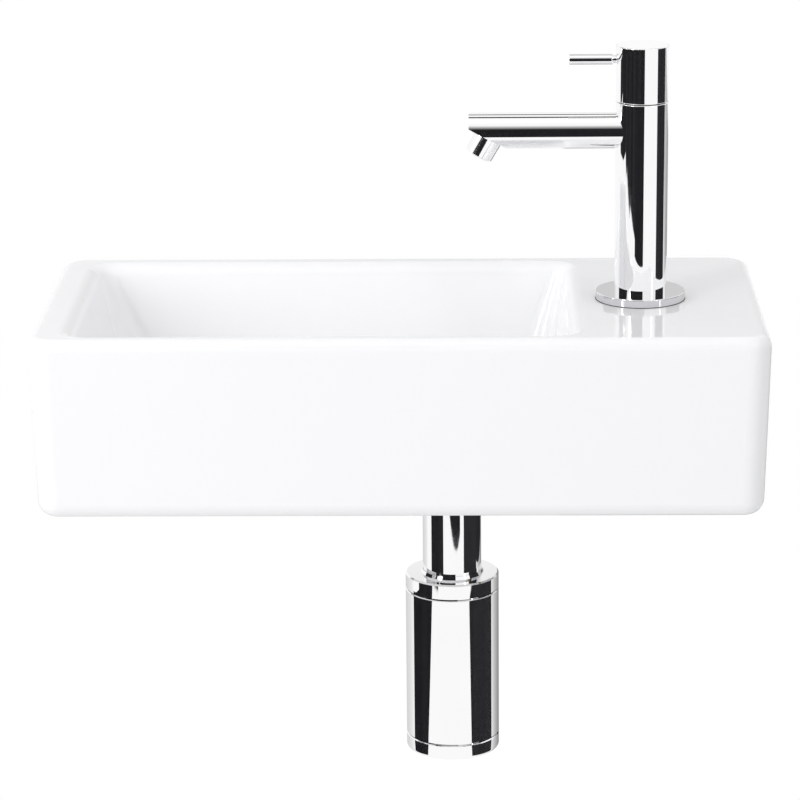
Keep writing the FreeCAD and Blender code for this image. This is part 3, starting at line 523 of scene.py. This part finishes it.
def felt_screens():
    """Upright screens beside the object that take soft light off its sides, unseen themselves."""
    felt = felt_material()
    for name, x, near, far, low, high in FELT_SCREENS:
        piece = sheet(name, [(x, near, low), (x, far, low), (x, far, high), (x, near, high)], felt)
        piece.visible_camera = False
        piece.visible_glossy = False
        piece.visible_transmission = False


def softbox(name, place, width, height, watts, glints):
    """Rectangular lamp aimed at the basin."""
    lamp = bpy.data.lights.new(name, "AREA")
    lamp.shape = "RECTANGLE"
    lamp.size = width
    lamp.size_y = height
    lamp.energy = watts
    piece = bpy.data.objects.new(name, lamp)
    piece.location = place
    piece.rotation_euler = (LAMP_TARGET - piece.location).to_track_quat("-Z", "Y").to_euler()
    piece.visible_glossy = glints
    bpy.context.scene.collection.objects.link(piece)


def thread_rings(radius, depth, low, high, pitch):
    """Rings of a V thread that fades in and out over its first and last turn."""
    count = round((high - low) / pitch * ROWS_PER_PITCH)
    rings = []
    for row in range(count + 1):
        height = low + (high - low) * row / count
        fade = min(1.0, (height - low) / pitch, (high - height) / pitch)
        rings.append((radius, height, depth * fade))
    return rings


def finished_piece(name, form, body, slot):
    """Object from a closed mesh form, with its finish, riding on a body."""
    bmesh.ops.recalc_face_normals(form, faces=form.faces)
    mesh = bpy.data.meshes.new(name)
    form.to_mesh(mesh)
    form.free()
    mesh.shade_smooth()
    mesh.set_sharp_from_angle(angle=math.radians(SHARP_ANGLE))
    mesh.materials.append(materials[slot])
    piece = bpy.data.objects.new(name, mesh)
    bpy.context.scene.collection.objects.link(piece)
    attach(piece, body)
    return piece


def upright_axis(node):
    """Frame on the upright axis through the middle of a CAD node."""
    low, high = (Vector(corner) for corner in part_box(node))
    middle = (low + high) / 2
    return Matrix.Translation((middle.x, middle.y, 0.0))


def turned_piece(name, place, body, slot, rings, pitch=1.0):
    """Piece turned about the Z axis of its place from (radius, height, thread depth) rings.

    The last ring joins the first one. The pitch only matters where rings have a thread depth."""
    form = bmesh.new()
    loops = []
    for radius, height, depth in rings:
        loop = []
        for step in range(TURN_STEPS):
            turn = math.tau * step / TURN_STEPS
            groove = abs(2.0 * ((height / pitch - turn / math.tau) % 1.0) - 1.0)
            reach = radius - depth * groove
            across = reach * math.cos(turn)
            along = reach * math.sin(turn)
            loop.append(form.verts.new(place @ Vector((across, along, height))))
        loops.append(loop)
    for below, above in zip(loops, loops[1:] + loops[:1]):
        for step in range(TURN_STEPS):
            after = (step + 1) % TURN_STEPS
            form.faces.new((below[step], below[after], above[after], above[step]))
    bmesh.ops.remove_doubles(form, verts=form.verts, dist=MERGE_GAP)
    return finished_piece(name, form, body, slot)


def threaded_tail():
    """Tap tail with its pipe thread, parted by a groove below the nut."""
    low, high = (Vector(corner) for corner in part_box("tap_shank"))
    radius = (high.x - low.x) / 2
    root = radius - TAIL_THREAD_DEPTH
    groove_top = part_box("tap_backnut")[0][2]
    groove_low = groove_top - TAIL_GROOVE_W
    groove_r = radius - TAIL_GROOVE_DEPTH
    rings = [(TAIL_BORE_R, low.z, 0.0), (root, low.z, 0.0)]
    rings += thread_rings(radius, TAIL_THREAD_DEPTH, low.z + TAIL_CHAMFER, groove_low, TAIL_PITCH)
    rings += [(groove_r, groove_low, 0.0), (groove_r, groove_top, 0.0), (radius, groove_top, 0.0)]
    rings += [(radius, high.z, 0.0), (TAIL_BORE_R, high.z, 0.0)]
    piece = turned_piece("tap_tail", upright_axis("tap_shank"), "root", "brass", rings, TAIL_PITCH)
    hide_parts("tap_shank")


def threaded_cap():
    """Cleaning cap with a rounded bottom edge and a coarse thread on its hollow plug."""
    low, high = (Vector(corner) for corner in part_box("cleaning_cap"))
    radius = (high.x - low.x) / 2
    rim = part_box("trap_body")[0][2] - CAP_SEAM
    plug_r = radius - CAP_PLUG_STEP
    groove_r = plug_r - 2 * CAP_GROOVE_R
    groove_low = rim + CAP_GROOVE_RISE - CAP_GROOVE_R
    groove_high = rim + CAP_GROOVE_RISE + CAP_GROOVE_R
    floor_z = low.z + CAP_WALL
    rings = [(0.0, low.z, 0.0)]
    for step in range(CAP_EDGE_STEPS + 1):
        bend = math.pi / 2 * step / CAP_EDGE_STEPS
        inset = CAP_EDGE_R * (1 - math.sin(bend))
        rise = CAP_EDGE_R * (1 - math.cos(bend))
        rings.append((radius - inset, low.z + rise, 0.0))
    rings += [(radius, rim - CAP_EDGE_BREAK, 0.0), (radius - CAP_EDGE_BREAK, rim, 0.0), (plug_r, rim, 0.0)]
    rings += [(plug_r, groove_low, 0.0), (groove_r, groove_low, 0.0), (groove_r, groove_high, 0.0)]
    rings += thread_rings(plug_r, CAP_THREAD_DEPTH, groove_high, high.z - CAP_EDGE_BREAK, CAP_PITCH)
    rings += [(plug_r - CAP_THREAD_DEPTH, high.z, 0.0), (plug_r - CAP_WALL, high.z, 0.0)]
    rings += [(plug_r - CAP_WALL, floor_z, 0.0), (0.0, floor_z, 0.0)]
    piece = turned_piece("screw_cap", upright_axis("cleaning_cap"), "cap", "chrome", rings, CAP_PITCH)
    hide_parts("cleaning_cap")


def shadow_line_ring():
    """Thin rubber ring at the foot plate's edge: a fine dark line of painted shade for the contact shadow
    round it.
    """
    low, high = (Vector(corner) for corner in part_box("tap_flange"))
    inner = (high.x - low.x) / 2 + SHADOW_LINE_GAP
    outer = inner + SHADOW_LINE_W
    foot = low.z + SHADOW_LINE_GAP
    top = foot + SHADOW_LINE_H
    rings = [(inner, foot, 0.0), (outer, foot, 0.0), (outer, top, 0.0), (inner, top, 0.0)]
    turned_piece("shadow_line_ring", upright_axis("tap_flange"), "root", "rubber", rings)


def slanted_spout():
    """Spout tube whose upright end turns into the slanted face of the nose."""
    low, high = (Vector(corner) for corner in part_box("spout"))
    radius = (high.z - low.z) / 2
    middle = (low + high) / 2
    root_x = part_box("tap_body")[0][0] + SPOUT_INSET
    fold_z = high.z - NOSE_UPRIGHT
    fold = math.asin((fold_z - middle.z) / radius)
    upper = [fold + (math.pi - 2 * fold) * step / ARC_STEPS for step in range(ARC_STEPS)]
    lower = [math.pi - fold + (math.pi + 2 * fold) * step / ARC_STEPS for step in range(ARC_STEPS)]
    form = bmesh.new()
    root = []
    end = []
    for turn in upper + lower:
        across = middle.y + radius * math.cos(turn)
        height = middle.z + radius * math.sin(turn)
        cut = max(0.0, fold_z - height) / math.tan(NOSE_ANGLE)
        root.append(form.verts.new((root_x, across, height)))
        end.append(form.verts.new((low.x + cut, across, height)))
    for step in range(2 * ARC_STEPS):
        form.faces.new((root[step - 1], root[step], end[step], end[step - 1]))
    form.faces.new(root)
    form.faces.new(end[:ARC_STEPS + 1])
    form.faces.new(end[ARC_STEPS:] + end[:1])
    piece = finished_piece("spout_tube", form, "root", "chrome")
    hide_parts("spout")


def aerator_ring():
    """Chrome ring of the aerator, set square on the slanted nose of the spout."""
    low, high = (Vector(corner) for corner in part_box("spout"))
    along = Vector((math.cos(NOSE_ANGLE), 0.0, -math.sin(NOSE_ANGLE)))
    outward = Vector((-math.sin(NOSE_ANGLE), 0.0, -math.cos(NOSE_ANGLE)))
    seat = Vector((low.x, (low.y + high.y) / 2, high.z - NOSE_UPRIGHT)) + along * AERATOR_SET
    tilt = Matrix((along, outward.cross(along), outward)).transposed().to_4x4()
    place = Matrix.Translation(seat) @ tilt
    mouth_r = AERATOR_R - AERATOR_TAPER
    inner_r = AERATOR_R - AERATOR_WALL
    rings = [(AERATOR_BORE_R, 0.0, 0.0), (AERATOR_R, 0.0, 0.0)]
    rings += [(mouth_r, AERATOR_LENGTH - AERATOR_EDGE, 0.0), (mouth_r - AERATOR_EDGE, AERATOR_LENGTH, 0.0)]
    rings += [(inner_r, AERATOR_LENGTH, 0.0), (inner_r, AERATOR_SHELF, 0.0)]
    rings += [(AERATOR_BORE_R, AERATOR_SHELF, 0.0)]
    piece = turned_piece("aerator_ring", place, "root", "chrome", rings)
    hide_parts("aerator_housing")
    return piece


def collection_of(name, *pieces):
    """Collection that the glow of a card can be linked to."""
    collection = bpy.data.collections.new(name)
    for piece in pieces:
        collection.objects.link(piece)
    return collection


def place_camera():
    """Camera at the viewpoint of the photograph."""
    camera = bpy.data.cameras.new("camera")
    camera.sensor_width = SENSOR_MM
    camera.lens = LENS_MM
    piece = bpy.data.objects.new("camera", camera)
    aim = Matrix.Rotation(math.radians(CAMERA_LEFT), 4, "Z")
    aim @= Matrix.Rotation(math.radians(90.0 - CAMERA_DOWN), 4, "X")
    aim @= Matrix.Rotation(math.radians(CAMERA_ROLL), 4, "Z")
    piece.matrix_world = Matrix.Translation(CAMERA_PLACE) @ aim
    bpy.context.scene.collection.objects.link(piece)
    bpy.context.scene.camera = piece


def light_room():
    """World that is white to camera and chrome and a softer light for matt surfaces."""
    world = bpy.data.worlds.new("studio")
    bpy.context.scene.world = world
    world.use_nodes = True
    tree = world.node_tree
    soft = tree.nodes["Background"]
    soft.inputs["Color"].default_value = (1.0, 1.0, 1.0, 1.0)
    soft.inputs["Strength"].default_value = ROOM_LIGHT
    white = tree.nodes.new("ShaderNodeBackground")
    white.inputs["Color"].default_value = (1.0, 1.0, 1.0, 1.0)
    white.inputs["Strength"].default_value = WHITE
    mix = tree.nodes.new("ShaderNodeMixShader")
    output = tree.nodes["World Output"]
    tree.links.new(seen_as_white(tree), mix.inputs["Fac"])
    tree.links.new(soft.outputs["Background"], mix.inputs[1])
    tree.links.new(white.outputs["Background"], mix.inputs[2])
    tree.links.new(mix.outputs["Shader"], output.inputs["Surface"])


# Finishes of the CAD pieces
FINISHES = {"glazed_ceramic": glazed_ceramic, "chrome": chrome, "brass": brass, "rubber": rubber,
            "valve_ceramic": valve_ceramic, "steel": steel, "plastic": plastic}
materials = {slot: make() for slot, make in FINISHES.items()}
for node in nodes.values():
    for material_slot in node.material_slots:
        material_slot.material = materials[material_slot.material.name]
nodes["tap_flange"].material_slots[0].material = foot_chrome()
# Painted shade: the cartridge body is coloured dark brass, for the shaded seam under the handle
nodes["cartridge_body"].material_slots[0].material = brass("seam_shade_brass", SEAM_SHADE_LOW, SEAM_SHADE_HIGH)

# Pieces with finer forms
threaded_tail()
threaded_cap()
# Thin dark ring of painted shade round the foot plate, for its contact shadow line
shadow_line_ring()
slanted_spout()
aerator = aerator_ring()

# Studio
studio_floor()
glazed = collection_of("glazed", nodes["basin"])
nose = collection_of("nose", nodes["basin"], aerator)
black_flags(glazed, nose)
grey_cards(glazed)
felt_screens()
for lamp in LAMPS:
    softbox(*lamp)
light_room()
place_camera()
bpy.context.scene.view_settings.view_transform = "Standard"
